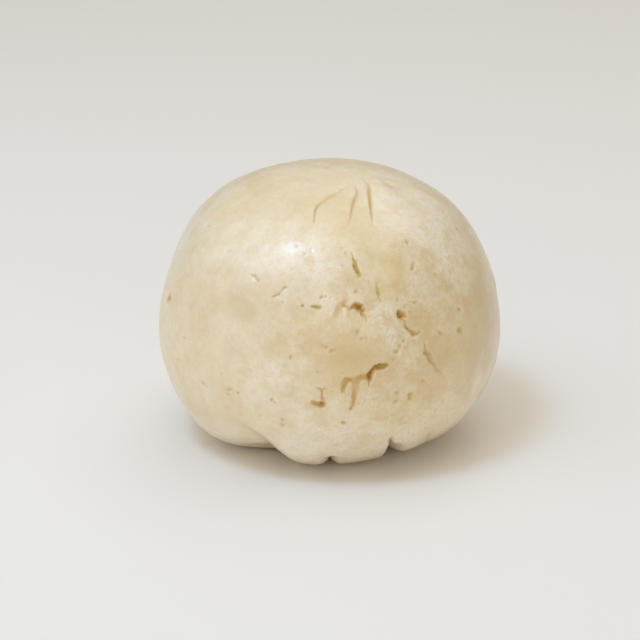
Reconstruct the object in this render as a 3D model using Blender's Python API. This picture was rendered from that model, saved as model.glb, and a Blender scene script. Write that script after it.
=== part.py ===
"""A ball of banku: cooked maize and cassava dough, rolled by hand and set down while soft.

The ball is one solid. Its surface is a distance from the heart, a point inside it at the
level where it is widest, given for every direction. A squashed round form is pressed by
the palms, sags onto a flat foot, and then loses the folds gathered underneath, the creases
of the crown and the tears and pits of the skin.

Directions are in degrees. `around` turns from the front (-Y) towards the right (+X), and
`up` climbs from the level of the heart. Lengths are in metres.
"""

from typing import NamedTuple

import bmesh
import bpy
import numpy as np

MM = 0.001
NEARLY_LEVEL = 1e-6

# The whole ball.
BALL_WIDTH = 106.2 * MM
BALL_DEPTH = 105.0 * MM
HEART_HEIGHT = 34.4 * MM
CROWN_RISE = 51.2 * MM
SAG_DROP = 36.8 * MM
CROWN_POWER = 2.17
SAG_POWER = 2.34

# How far the soft dough rounds off round its foot, where it has spread on what it rests on.
FOOT_ROUNDING = 0.8 * MM

# Slow unevenness left by the hands all over.
HAND_SEED = 11
HAND_WAVES = 14
HAND_WAVE_LENGTH = (22 * MM, 48 * MM)
HAND_SWELL = 0.16 * MM

# Folds: a sharp groove in a wide valley, whose one side may lie over the other. They come in
# over the first share of their length and go out over the last.
GROOVE_WIDTH = 0.8 * MM
FLAP_REACH = 11 * MM
TUCK_REACH = 7 * MM
FLAP_EDGE = 0.5 * MM
FOLD_FADE_POWER = 2.0
FOLD_RISE_SHARE = 0.45
FOLD_FALL_SHARE = 0.3

# The sides and the back, round which the folds, tears and swells are spread by a rule.
BACK_FROM = 84
BACK_TO = 286
BACK_WANDER = 7

BACK_FOLD_SEED = 5
BACK_FOLD_COUNT = 7
BACK_FOLD_TOP = (-32, -14)
BACK_FOLD_END = -54
BACK_FOLD_DEPTH = (0.8 * MM, 1.6 * MM)
BACK_FOLD_VALLEY_WIDTH = 4.2 * MM
BACK_FOLD_FLAP = 0.9 * MM

BACK_TEAR_SEED = 23
BACK_TEAR_COUNT = 9
BACK_TEAR_UP = (-14, 50)
BACK_TEAR_LENGTH = (1.5, 7)
BACK_TEAR_BEND = 24
BACK_TEAR_WIDTH = (0.6 * MM, 1.1 * MM)
BACK_TEAR_DEPTH = (0.8 * MM, 1.9 * MM)
BACK_TEAR_WIDTH_SHARES = (0.6, 1.0, 0.5)
BACK_TEAR_DEPTH_SHARES = (0.4, 1.0, 0.3)

BACK_SWELL_SEED = 8
BACK_SWELL_COUNT = 5
BACK_SWELL_AROUND = (125, 235)
BACK_SWELL_UP = (-20, 45)
BACK_SWELL_SPREAD = (13, 19)
BACK_SWELL_RISE = (0.45 * MM, 1.1 * MM)

# Torn edges wander by this much, over waves of this length, and their walls are steep.
TEAR_WANDER = 0.3 * MM
TEAR_WANDER_WAVES = 9
TEAR_WANDER_LENGTH = (3.4 * MM, 6.8 * MM)
TEAR_WANDER_SEED = 3
TEAR_WALL_POWER = 0.75
CREASE_SHARE = 0.6
LIP_RISE = 0.16
LIP_WIDTH = 1.1 * MM

# The mesh: even triangles on plain skin, fine ones at the marks, and at each fold as long
# as this share of its width.
ROUND_SUBDIVISIONS = 5
FINE_EDGE = 0.85 * MM
FOLD_EDGE_SHARE = 0.42
EDGE_GROWTH = 0.8
REFINING_ROUNDS = 3
PATH_STEPS = 4

DOUGH_COLOUR = (0.74, 0.62, 0.41, 1.0)
DOUGH_ROUGHNESS = 0.4


class Swell(NamedTuple):
    """A place where the hands left the dough standing out by `rise`, or pressed it in."""
    around: float
    up: float
    spread: float
    rise: float


class Fold(NamedTuple):
    """A fold along a path of (around, up), from its faint upper end to under the ball.

    It is a sharp groove in a valley of its own width. Where `flap` is given, the side to the
    left of the path lies that much over the other.
    """
    path: tuple
    depth: float
    valley: float
    valley_width: float
    flap: float = 0.0


class Mark(NamedTuple):
    """A crease, tear or pit along a path of (around, up), with its half width and depth.

    Both are given at each point of the path. A torn mark has steep walls and a ragged edge,
    and any other is a soft valley.
    """
    path: tuple
    widths: tuple
    depths: tuple
    torn: bool = True


SWELLS = (
    Swell(around=0, up=90, spread=34, rise=-2.2 * MM),
    Swell(around=0, up=-90, spread=32, rise=2.8 * MM),
    Swell(around=-90, up=48, spread=24, rise=0.2 * MM),
    Swell(around=-90, up=20, spread=20, rise=-1.6 * MM),
    Swell(around=-90, up=-22, spread=20, rise=-1.0 * MM),
    Swell(around=90, up=52, spread=24, rise=-1.0 * MM),
    Swell(around=90, up=18, spread=20, rise=-1.3 * MM),
    Swell(around=90, up=-24, spread=20, rise=-0.6 * MM),
    Swell(around=-62, up=-38, spread=16, rise=2.9 * MM),
    Swell(around=-33, up=-43, spread=9, rise=-1.4 * MM),
    Swell(around=60, up=-36, spread=16, rise=1.1 * MM),
    Swell(around=-10, up=-40, spread=13, rise=1.5 * MM),
    Swell(around=12, up=-40, spread=12, rise=1.1 * MM),
    Swell(around=38, up=-38, spread=14, rise=1.3 * MM),
)

FRONT_FOLDS = (
    # The long edge of a flap on the left, lying over the lobe beyond it.
    Fold(path=((-36, -15.5), (-32.5, -18.8), (-29.2, -22), (-26.4, -25.6), (-25, -29.4),
               (-24, -36), (-23.6, -44), (-25.5, -58), (-28, -70)),
         depth=0.8 * MM, valley=2.8 * MM, valley_width=3.6 * MM, flap=2.4 * MM),
    # A notch in the middle.
    Fold(path=((0.8, -31), (0.5, -35), (0, -42), (-1.5, -62)),
         depth=1.4 * MM, valley=1.5 * MM, valley_width=2.0 * MM),
    # A narrow slit on the right, and the notch that it opens into below.
    Fold(path=((22.6, -22), (23.2, -25.5), (25, -29.8), (27.6, -34), (31, -40)),
         depth=2.4 * MM, valley=0.2 * MM, valley_width=1.4 * MM),
    Fold(path=((24.6, -27), (27.2, -32), (31.6, -41), (38.5, -54), (44, -64)),
         depth=0.4 * MM, valley=3.4 * MM, valley_width=2.3 * MM),
    # A faint one at the far right.
    Fold(path=((38, -22), (41, -28), (48, -38), (58, -48)),
         depth=0.4 * MM, valley=0.3 * MM, valley_width=5 * MM),
)

CREASES = (
    Mark(path=((55, 76), (43, 70.5), (34.2, 66), (27.8, 60.5), (24.8, 56.5), (21.5, 51)),
         widths=(0.6 * MM, 0.9 * MM, 1.1 * MM, 1.1 * MM, 0.9 * MM, 0.5 * MM),
         depths=(0.1 * MM, 0.5 * MM, 0.8 * MM, 0.8 * MM, 0.5 * MM, 0.1 * MM), torn=False),
    Mark(path=((30, 73), (24.2, 67.2), (18.2, 63.5), (14.5, 59.8), (10.2, 52.8)),
         widths=(0.6 * MM, 0.9 * MM, 1.0 * MM, 1.0 * MM, 0.6 * MM),
         depths=(0.1 * MM, 0.5 * MM, 0.5 * MM, 0.4 * MM, 0.1 * MM), torn=False),
    Mark(path=((25, 74), (9.5, 69.5), (0.5, 66.5), (-4.8, 63.5), (-9.2, 60.2), (-8.8, 53.2)),
         widths=(0.5 * MM, 0.7 * MM, 0.8 * MM, 0.8 * MM, 0.9 * MM, 0.6 * MM),
         depths=(0.1 * MM, 0.3 * MM, 0.4 * MM, 0.4 * MM, 0.5 * MM, 0.2 * MM), torn=False),
)

TEARS = (
    # A slit below the crown, leaning to the right.
    Mark(path=((8.8, 41.5), (9.7, 38.6), (10.2, 36.4), (11.3, 33.6)),
         widths=(0.5 * MM, 0.8 * MM, 0.9 * MM, 0.5 * MM),
         depths=(0.3 * MM, 1.0 * MM, 1.4 * MM, 0.4 * MM)),
    # A shorter one to its right.
    Mark(path=((16.6, 30.9), (16.9, 28), (17.5, 25.2)),
         widths=(0.5 * MM, 0.8 * MM, 0.6 * MM),
         depths=(0.3 * MM, 0.8 * MM, 0.4 * MM)),
    # A double pit in the middle: a shallow bay, a neck and a deep hole with a tail.
    Mark(path=((2.2, 22.0), (2.9, 23.4), (4.0, 24.8), (5.2, 26.0)),
         widths=(0.8 * MM, 1.3 * MM, 1.4 * MM, 0.9 * MM),
         depths=(0.5 * MM, 0.8 * MM, 0.8 * MM, 0.4 * MM)),
    Mark(path=((5.0, 25.0), (6.6, 24.4), (8.2, 24.8), (9.6, 24.0), (10.4, 22.4), (12.0, 20.6)),
         widths=(0.8 * MM, 0.7 * MM, 1.0 * MM, 1.3 * MM, 0.9 * MM, 0.5 * MM),
         depths=(0.6 * MM, 0.7 * MM, 1.6 * MM, 2.4 * MM, 1.6 * MM, 0.4 * MM)),
    # A round pit with a crack that runs down from it and turns.
    Mark(path=((23.9, 20.6), (24.1, 19.9)),
         widths=(1.3 * MM, 1.3 * MM),
         depths=(2.2 * MM, 2.2 * MM)),
    Mark(path=((24.3, 18.8), (26.0, 16.0), (27.5, 14.2), (28.8, 14.0), (30.4, 14.8)),
         widths=(0.6 * MM, 0.6 * MM, 0.8 * MM, 0.7 * MM, 0.5 * MM),
         depths=(0.7 * MM, 0.8 * MM, 1.0 * MM, 0.8 * MM, 0.3 * MM)),
    # A long crack lower on the right, with a side branch.
    Mark(path=((31.6, 9.8), (31.6, 8), (33.2, 5.5), (34.8, 2.5), (35.8, 0.6)),
         widths=(0.6 * MM, 0.8 * MM, 0.8 * MM, 0.6 * MM, 0.5 * MM),
         depths=(0.5 * MM, 0.9 * MM, 0.9 * MM, 0.6 * MM, 0.3 * MM)),
    Mark(path=((34.6, 4.0), (36.4, 1.4), (38.8, -2.4)),
         widths=(0.5 * MM, 0.5 * MM, 0.4 * MM),
         depths=(0.5 * MM, 0.4 * MM, 0.2 * MM)),
    # The widest tear: a narrow deep crack, blunt at its right end,
    Mark(path=((17.4, 5.3), (15.0, 4.8), (12.8, 3.7), (12.1, 1.8), (12.0, -0.4)),
         widths=(0.8 * MM, 0.9 * MM, 1.0 * MM, 0.8 * MM, 0.5 * MM),
         depths=(1.7 * MM, 2.0 * MM, 2.4 * MM, 1.6 * MM, 0.4 * MM)),
    # the shallow ledge that it opens into on the left,
    Mark(path=((11.8, 2.0), (10, 1.7), (8.4, 1.6), (6.4, 1.9)),
         widths=(1.2 * MM, 1.3 * MM, 1.1 * MM, 0.8 * MM),
         depths=(1.2 * MM, 0.9 * MM, 0.9 * MM, 0.9 * MM)),
    # and two branches that hang from the ledge.
    Mark(path=((6.4, 1.9), (4.9, 1.2), (4.3, -0.4), (3.9, -2.4)),
         widths=(0.7 * MM, 0.8 * MM, 0.7 * MM, 0.5 * MM),
         depths=(0.9 * MM, 0.9 * MM, 0.8 * MM, 0.4 * MM)),
    Mark(path=((8.4, 1.2), (8.0, -2), (7.2, -5.4), (6.5, -8.4)),
         widths=(1.0 * MM, 1.05 * MM, 0.9 * MM, 0.7 * MM),
         depths=(0.8 * MM, 0.7 * MM, 0.5 * MM, 0.4 * MM)),
    # A bowl-shaped pit to the left of it, with a neck.
    Mark(path=((-5.4, -5.6), (-4.6, -6.7), (-3.4, -7.0), (-2.2, -6.2), (-1.8, -5.2)),
         widths=(0.6 * MM, 1.0 * MM, 1.15 * MM, 0.9 * MM, 0.6 * MM),
         depths=(0.6 * MM, 1.2 * MM, 1.4 * MM, 1.1 * MM, 0.5 * MM)),
    Mark(path=((-4.0, -1.5), (-3.0, -2.2), (-2.5, -3.5), (-2.1, -5.2)),
         widths=(0.5 * MM, 0.6 * MM, 0.6 * MM, 0.6 * MM),
         depths=(0.5 * MM, 0.6 * MM, 0.6 * MM, 0.6 * MM)),
    # Small pits.
    Mark(path=((-20.4, 27), (-18.4, 27.6), (-16.5, 30.0)),
         widths=(0.6 * MM, 0.6 * MM, 0.6 * MM),
         depths=(0.5 * MM, 0.5 * MM, 0.6 * MM)),
    Mark(path=((-6.0, 24.3), (-4.2, 24.3)),
         widths=(0.7 * MM, 0.65 * MM),
         depths=(0.8 * MM, 0.7 * MM)),
    Mark(path=((26.2, -5.6), (26.0, -7.0)),
         widths=(0.7 * MM, 0.7 * MM),
         depths=(0.9 * MM, 0.9 * MM)),
)


def direction(around, up):
    """Unit vectors that point `around` degrees right of the front and `up` degrees above level."""
    turned = np.radians(around)
    raised = np.radians(up)
    return np.stack(
        [np.sin(turned) * np.cos(raised), -np.cos(turned) * np.cos(raised), np.sin(raised)], axis=-1)


def round_form(directions):
    """Distance to a superellipsoid, taller above the heart than below it."""
    level = np.hypot(directions[:, 0] / (BALL_WIDTH / 2), directions[:, 1] / (BALL_DEPTH / 2))
    above = directions[:, 2] >= 0
    power = np.where(above, CROWN_POWER, SAG_POWER)
    rise = np.where(above, CROWN_RISE, SAG_DROP)
    return (level ** power + (np.abs(directions[:, 2]) / rise) ** power) ** (-1 / power)


def swollen(directions):
    """Rise that the hands left: a bell curve of the angle from the middle of each swell."""
    rise = np.zeros(len(directions))
    for swell in SWELLS + back_swells():
        cosine = directions @ direction(swell.around, swell.up)
        apart = np.degrees(np.arccos(np.clip(cosine, -1, 1)))
        rise += swell.rise * np.exp(-(apart / swell.spread) ** 2)
    return rise


def waves(places, seed, count, lengths):
    """Sum of sine waves across places (in metres), in seeded directions; about 1 at its highest."""
    draw = np.random.default_rng(seed)
    headings = draw.normal(size=(count, 3))
    headings /= np.linalg.norm(headings, axis=1)[:, None]
    turns = 2 * np.pi / draw.uniform(*lengths, size=count)
    starts = draw.uniform(0, 2 * np.pi, size=count)
    return np.sin(places @ (headings * turns[:, None]).T + starts).sum(axis=1) / np.sqrt(count)


def settle_on_foot(directions, reach):
    """Smooth minimum of a reach and the table's: the lesser one, rounded off where they are close."""
    table = HEART_HEIGHT / np.maximum(-directions[:, 2], NEARLY_LEVEL)
    close = np.clip(1 - np.abs(reach - table) / FOOT_ROUNDING, 0, None)
    return np.minimum(reach, table) - FOOT_ROUNDING / 4 * close ** 2


def smooth_path(path):
    """Directions along the Catmull-Rom curve through a path's points, PATH_STEPS to a span."""
    corners = direction(*np.array(path, dtype=float).T)
    ends = np.vstack([2 * corners[0] - corners[1], corners, 2 * corners[-1] - corners[-2]])
    before, start, end, after = ends[:-3], ends[1:-2], ends[2:-1], ends[3:]
    along = np.arange(PATH_STEPS)[:, None, None] / PATH_STEPS
    curve = 0.5 * (2 * start + (end - before) * along
                   + (2 * before - 5 * start + 4 * end - after) * along ** 2
                   + (3 * start - before - 3 * end + after) * along ** 3)
    line = np.vstack([curve.transpose(1, 0, 2).reshape(-1, 3), corners[-1:]])
    return line / np.linalg.norm(line, axis=1)[:, None]


def beside_path(directions, path):
    """Angle from a path, positive to its left, and the point counted along it, for each direction."""
    line = smooth_path(path)
    nearest = np.full(len(directions), np.inf)
    beside = np.zeros(len(directions))
    count = np.zeros(len(directions))
    for step, (start, end) in enumerate(zip(line[:-1], line[1:])):
        run = end - start
        share = np.clip((directions - start) @ run / (run @ run), 0, 1)
        apart = np.linalg.norm(directions - start - share[:, None] * run, axis=1)
        side = np.where(directions @ np.cross(start, end) >= 0, 1, -1)
        closer = apart < nearest
        nearest = np.where(closer, apart, nearest)
        beside = np.where(closer, side * apart, beside)
        count = np.where(closer, (step + share) / PATH_STEPS, count)
    return beside, count


def spread_round(draw, first, last, count):
    """Turns from first to last, evenly set but for a seeded wander."""
    return np.linspace(first, last, count) + draw.uniform(-BACK_WANDER, BACK_WANDER, size=count)


def back_swells():
    """Swells and hollows of the back, by turns."""
    draw = np.random.default_rng(BACK_SWELL_SEED)
    swells = []
    for step, around in enumerate(spread_round(draw, *BACK_SWELL_AROUND, BACK_SWELL_COUNT)):
        rise = draw.uniform(*BACK_SWELL_RISE) * (-1) ** step
        swells.append(Swell(around, draw.uniform(*BACK_SWELL_UP), draw.uniform(*BACK_SWELL_SPREAD), rise))
    return tuple(swells)


def back_folds():
    """Folds that gather under the sides and the back, every other one with a flap."""
    draw = np.random.default_rng(BACK_FOLD_SEED)
    folds = []
    for step, place in enumerate(spread_round(draw, BACK_FROM, BACK_TO, BACK_FOLD_COUNT)):
        lean = draw.uniform(-BACK_WANDER, BACK_WANDER)
        top = draw.uniform(*BACK_FOLD_TOP)
        middle = (top + BACK_FOLD_END) / 2
        depth = draw.uniform(*BACK_FOLD_DEPTH)
        path = ((place, top), (place + lean, middle), (place + lean / 2, BACK_FOLD_END))
        folds.append(Fold(path, depth / 2, depth, BACK_FOLD_VALLEY_WIDTH, BACK_FOLD_FLAP * (step % 2)))
    return tuple(folds)


def back_tears():
    """Short bent tears on the sides and the back, at seeded heights, headings and sizes."""
    draw = np.random.default_rng(BACK_TEAR_SEED)
    tears = []
    for around in spread_round(draw, BACK_FROM, BACK_TO, BACK_TEAR_COUNT):
        up = draw.uniform(*BACK_TEAR_UP)
        half_length = draw.uniform(*BACK_TEAR_LENGTH) / 2
        heading = draw.uniform(0, 180)
        width = draw.uniform(*BACK_TEAR_WIDTH)
        depth = draw.uniform(*BACK_TEAR_DEPTH)
        path = [(around, up)]
        for end, turned in ((0, heading + 180), (2, heading + BACK_TEAR_BEND)):
            step_around = half_length * np.cos(np.radians(turned)) / np.cos(np.radians(up))
            step_up = half_length * np.sin(np.radians(turned))
            path.insert(end, (around + step_around, up + step_up))
        widths = tuple(share * width for share in BACK_TEAR_WIDTH_SHARES)
        depths = tuple(share * depth for share in BACK_TEAR_DEPTH_SHARES)
        tears.append(Mark(tuple(path), widths, depths))
    return tuple(tears)


def folded(directions, reach, folds):
    """Depth of the folds: a sharp groove and a bell-shaped valley, fading at both ends.

    A flap adds a step: the left side stands up and the right side is tucked down, both
    dying away from the fold.
    """
    depth = np.zeros(len(directions))
    for fold in folds:
        beside, count = beside_path(directions, fold.path)
        beside = beside * reach
        along = count / (len(fold.path) - 1)
        rising = np.sin(np.pi / 2 * np.clip(along / FOLD_RISE_SHARE, 0, 1)) ** FOLD_FADE_POWER
        falling = np.sin(np.pi / 2 * np.clip((1 - along) / FOLD_FALL_SHARE, 0, 1))
        fade = rising * falling
        groove = fold.depth * np.exp(-np.abs(beside) / GROOVE_WIDTH)
        valley = fold.valley * np.exp(-(beside / fold.valley_width) ** 2)
        died = np.exp(-np.abs(beside) / np.where(beside > 0, FLAP_REACH, TUCK_REACH))
        flap = -fold.flap * np.tanh(beside / FLAP_EDGE) * died
        depth += fade * (groove + valley + flap)
    return depth


def marked(directions, reach, marks):
    """Depth of creases, tears and pits: the deepest of them at each place, and a low lip round it.

    Across a torn mark the depth is (1 - (distance / half width)^2) to a power below 1, so its
    walls are steep, and across a crease it is a bell curve.
    """
    depth = np.zeros(len(directions))
    lip = np.zeros(len(directions))
    for mark in marks:
        beside, count = beside_path(directions, mark.path)
        beside = np.abs(beside) * reach
        knots = np.arange(len(mark.path))
        width = np.interp(count, knots, mark.widths)
        deepest = np.interp(count, knots, mark.depths)
        if mark.torn:
            share = np.clip(1 - (beside / width) ** 2, 0, 1) ** TEAR_WALL_POWER
            ridge = np.exp(-((beside - width) / LIP_WIDTH) ** 2)
            lip = np.maximum(lip, LIP_RISE * deepest * ridge * (share == 0))
        else:
            share = np.exp(-(beside / (CREASE_SHARE * width)) ** 2)
        depth = np.maximum(depth, deepest * share)
    return depth - lip


def ragged(directions, reach):
    """Directions shifted a little by short waves, which gives the torn edges their wander."""
    places = directions * reach[:, None]
    shifts = [waves(places, TEAR_WANDER_SEED + axis, TEAR_WANDER_WAVES, TEAR_WANDER_LENGTH)
              for axis in range(3)]
    moved = places + TEAR_WANDER * np.stack(shifts, axis=1)
    return moved / np.linalg.norm(moved, axis=1)[:, None]


def surface(directions):
    """Points of the ball's skin in the given directions from its heart."""
    reach = round_form(directions) + swollen(directions)
    places = directions * reach[:, None]
    reach += HAND_SWELL * waves(places, HAND_SEED, HAND_WAVES, HAND_WAVE_LENGTH)
    reach = settle_on_foot(directions, reach)
    depth = folded(directions, reach, FRONT_FOLDS + back_folds())
    depth += marked(directions, reach, CREASES)
    depth += marked(ragged(directions, reach), reach, TEARS + back_tears())
    reach -= depth
    downward = np.maximum(-directions[:, 2], NEARLY_LEVEL)
    resting = reach >= HEART_HEIGHT / downward
    reach = np.where(resting, HEART_HEIGHT / downward, reach)
    points = directions * reach[:, None] + (0, 0, HEART_HEIGHT)
    points[resting, 2] = 0
    return points


def wanted_edge(directions):
    """Edge length for the mesh at each direction: fine at the marks, growing away from them."""
    wanted = np.full(len(directions), np.inf)
    half_width = BALL_WIDTH / 2
    for mark in CREASES + TEARS + back_tears():
        beside, _ = beside_path(directions, mark.path)
        clear = np.abs(beside) * half_width - max(mark.widths) - FINE_EDGE
        wanted = np.minimum(wanted, FINE_EDGE + EDGE_GROWTH * np.maximum(clear, 0))
    for fold in FRONT_FOLDS + back_folds():
        beside, _ = beside_path(directions, fold.path)
        edge = max(FINE_EDGE, FOLD_EDGE_SHARE * fold.valley_width)
        clear = np.abs(beside) * half_width - edge
        wanted = np.minimum(wanted, edge + EDGE_GROWTH * np.maximum(clear, 0))
    return wanted


def round_mesh():
    """A unit sphere of triangles, with edges halved where they are longer than is wanted there."""
    sphere = bmesh.new()
    bmesh.ops.create_icosphere(sphere, subdivisions=ROUND_SUBDIVISIONS, radius=1)
    for _ in range(REFINING_ROUNDS):
        ends = np.array([[vert.co[:] for vert in edge.verts] for edge in sphere.edges])
        lengths = np.linalg.norm(ends[:, 1] - ends[:, 0], axis=1) * BALL_WIDTH / 2
        middles = ends.mean(axis=1)
        middles /= np.linalg.norm(middles, axis=1)[:, None]
        long = lengths > wanted_edge(middles) * np.sqrt(2)
        chosen = [edge for edge, is_long in zip(sphere.edges, long) if is_long]
        bmesh.ops.subdivide_edges(sphere, edges=chosen, cuts=1, use_single_edge=True)
        bmesh.ops.triangulate(sphere, faces=sphere.faces[:], quad_method="SHORT_EDGE")
        for vert in sphere.verts:
            vert.co.normalize()
    return sphere


def dough():
    """Cream, moist dough."""
    material = bpy.data.materials.new("maize dough")
    material.use_nodes = True
    shader = material.node_tree.nodes["Principled BSDF"]
    shader.inputs["Base Color"].default_value = DOUGH_COLOUR
    shader.inputs["Roughness"].default_value = DOUGH_ROUGHNESS
    shader.inputs["Metallic"].default_value = 0.0
    return material


def banku():
    """The ball itself, with the middle of its foot at the origin."""
    ball = round_mesh()
    points = surface(np.array([vert.co[:] for vert in ball.verts]))
    points[:, :2] -= (points[:, :2].min(axis=0) + points[:, :2].max(axis=0)) / 2
    for vert, point in zip(ball.verts, points):
        vert.co = point
    bmesh.ops.recalc_face_normals(ball, faces=ball.faces[:])
    mesh = bpy.data.meshes.new("banku")
    ball.to_mesh(mesh)
    ball.free()
    mesh.materials.append(dough())
    mesh.shade_smooth()
    piece = bpy.data.objects.new("banku", mesh)
    bpy.context.scene.collection.objects.link(piece)
    return piece


def main():
    """Clears the scene and makes the ball."""
    for leftover in list(bpy.data.objects):
        bpy.data.objects.remove(leftover)
    banku()


main()
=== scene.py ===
"""Looks of a ball of banku: moist cream dough, stained ochre, with amber tears and soft folds.

The ball's skin is worked out again on a finer grid of directions than the solid has, with the
small pits, wrinkles, pads and ragged edges that the solid leaves out, and is fitted to the
solid's own box.

Directions are in degrees. `around` turns from the front (-Y) towards the right (+X), and
`up` climbs from the level of the heart, a point inside the ball where it is widest. Lengths
are in metres.
"""

from typing import NamedTuple

import bpy
import numpy as np
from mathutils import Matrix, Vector


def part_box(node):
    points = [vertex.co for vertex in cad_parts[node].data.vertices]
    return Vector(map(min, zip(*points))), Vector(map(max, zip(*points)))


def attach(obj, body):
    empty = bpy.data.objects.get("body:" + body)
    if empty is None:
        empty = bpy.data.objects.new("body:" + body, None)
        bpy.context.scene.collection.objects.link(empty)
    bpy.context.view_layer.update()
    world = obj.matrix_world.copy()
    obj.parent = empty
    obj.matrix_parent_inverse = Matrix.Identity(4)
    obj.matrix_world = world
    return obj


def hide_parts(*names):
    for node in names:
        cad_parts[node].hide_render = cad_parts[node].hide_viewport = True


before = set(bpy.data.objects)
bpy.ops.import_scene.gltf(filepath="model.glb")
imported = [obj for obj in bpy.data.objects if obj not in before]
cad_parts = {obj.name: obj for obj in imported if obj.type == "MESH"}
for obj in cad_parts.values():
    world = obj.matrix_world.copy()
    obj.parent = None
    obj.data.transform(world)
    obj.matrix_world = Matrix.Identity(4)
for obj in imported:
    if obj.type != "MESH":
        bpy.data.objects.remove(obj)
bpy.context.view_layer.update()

MM = 0.001

# The least fall of a direction that is taken to meet the ground.
NEARLY_LEVEL = 1e-6

# The whole ball, as the solid has it.
BALL_WIDTH = 106.2 * MM
BALL_DEPTH = 105.0 * MM
HEART_HEIGHT = 34.4 * MM
CROWN_RISE = 51.2 * MM
SAG_DROP = 36.8 * MM
CROWN_POWER = 2.17
SAG_POWER = 2.34
FOOT_ROUNDING = 0.8 * MM

# Folds: a sharp groove in a wide valley, whose one side may lie over the other. They come in
# over the first share of their length and go out over the last.
GROOVE_WIDTH = 0.45 * MM
FLAP_REACH = 11 * MM
TUCK_REACH = 7 * MM
FLAP_EDGE = 0.5 * MM
FOLD_FADE_POWER = 2.0
FOLD_RISE_SHARE = 0.45
FOLD_FALL_SHARE = 0.3
# The width of the painted shade along a fold's groove.
FOLD_SHADE_WIDTH = 0.7 * MM

# The sides and the back, round which the folds, tears and swells are spread by a rule.
BACK_FROM = 84
BACK_TO = 286
BACK_WANDER = 7

BACK_FOLD_SEED = 5
BACK_FOLD_COUNT = 7
BACK_FOLD_TOP = (-32, -14)
BACK_FOLD_END = -54
BACK_FOLD_DEPTH = (0.8 * MM, 1.6 * MM)
BACK_FOLD_VALLEY_WIDTH = 4.2 * MM
BACK_FOLD_FLAP = 0.9 * MM

BACK_TEAR_SEED = 23
BACK_TEAR_COUNT = 9
BACK_TEAR_UP = (-14, 50)
BACK_TEAR_LENGTH = (1.5, 7)
BACK_TEAR_BEND = 24
BACK_TEAR_WIDTH = (0.6 * MM, 1.1 * MM)
BACK_TEAR_DEPTH = (0.8 * MM, 1.9 * MM)
BACK_TEAR_WIDTH_SHARES = (0.6, 1.0, 0.5)
BACK_TEAR_DEPTH_SHARES = (0.4, 1.0, 0.3)

BACK_SWELL_SEED = 8
BACK_SWELL_COUNT = 5
BACK_SWELL_AROUND = (125, 235)
BACK_SWELL_UP = (-20, 45)
BACK_SWELL_SPREAD = (13, 19)
BACK_SWELL_RISE = (0.45 * MM, 1.1 * MM)

# Torn walls, soft creases, the low lips round tears and the halo that soaks out of them.
TEAR_WALL_POWER = 0.8
CREASE_SHARE = 0.42
LIP_RISE = 0.1
LIP_WIDTH = 1.4 * MM
HALO_REACH = 1.6 * MM

# A mark is worked out up to so many degrees from it, on a path of so many steps to a span.
MARK_MARGIN = 10
PATH_STEPS = 4

# The height in degrees below which the underside is darkened brown as painted shade, and over how
# many it deepens.
UNDER_FROM = -50
UNDER_SPAN = 6

# The grid of directions: finest in front, where the tears are.
COLUMN_STEPS = dict(fine_from=-26, fine_to=42, fine=0.48, coarse=1.45, blend=22)
ROW_STEPS = dict(fine_from=-44, fine_to=43, fine=0.48, coarse=1.25, blend=15)
STEP_SAMPLES = 4000

# How far the grid's directions are drawn in towards tears and creases, and from how far off.
DRAW_SHARE = 0.55
DRAW_WIDTH = 1.7 * MM


class Swell(NamedTuple):
    """A place where the dough stands out by `rise`, or is pressed in, over `spread` degrees."""
    around: float
    up: float
    spread: float
    rise: float


class Fold(NamedTuple):
    """A fold along a path of (around, up), from its faint upper end to under the ball.

    It is a sharp groove in a valley of its own width. Where `flap` is given, the side to the
    left of the path lies that much over the other.
    """
    path: tuple
    depth: float
    valley: float
    valley_width: float
    flap: float = 0.0


class Mark(NamedTuple):
    """A crease, tear or pit along a path of (around, up), with its half width and depth.

    Both are given at each point of the path. A torn mark has steep walls and a ragged edge,
    and any other is a soft valley.
    """
    path: tuple
    widths: tuple
    depths: tuple
    torn: bool = True


class Waves(NamedTuple):
    """Unevenness in every direction: seeded sine waves of a range of lengths, so high in all."""
    seed: int
    count: int
    lengths: tuple
    height: float


class Patch(NamedTuple):
    """A round patch of colour: `amount` in the middle, fading over `spread` degrees."""
    around: float
    up: float
    spread: float
    amount: float


class Noise(NamedTuple):
    """Soft noise in lumps of about `size`, read as 0 below `low` and as 1 above `high`."""
    size: float
    low: float = 0.0
    high: float = 1.0
    detail: float = 3
    roughness: float = 0.5


class Lamp(NamedTuple):
    """A square studio light that faces the ball: `size` is the length of its side."""
    name: str
    place: tuple
    size: float
    power: float
    colour: tuple


# Left by the hands, by the palms' rolling and by the coarse meal in the skin.
UNEVENNESS = (
    Waves(seed=11, count=14, lengths=(22 * MM, 48 * MM), height=0.16 * MM),
    Waves(seed=31, count=24, lengths=(9 * MM, 16 * MM), height=0.05 * MM),
    Waves(seed=41, count=30, lengths=(3 * MM, 6 * MM), height=0.018 * MM),
)

# Shifts of the torn edges, and how uneven the torn floors are, as a share of their depth.
TEAR_WANDERS = (
    Waves(seed=3, count=9, lengths=(3.4 * MM, 6.8 * MM), height=0.3 * MM),
    Waves(seed=17, count=12, lengths=(1.2 * MM, 2.4 * MM), height=0.17 * MM),
)
TEAR_FLOOR = Waves(seed=29, count=14, lengths=(1.1 * MM, 3.0 * MM), height=0.16)

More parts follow.
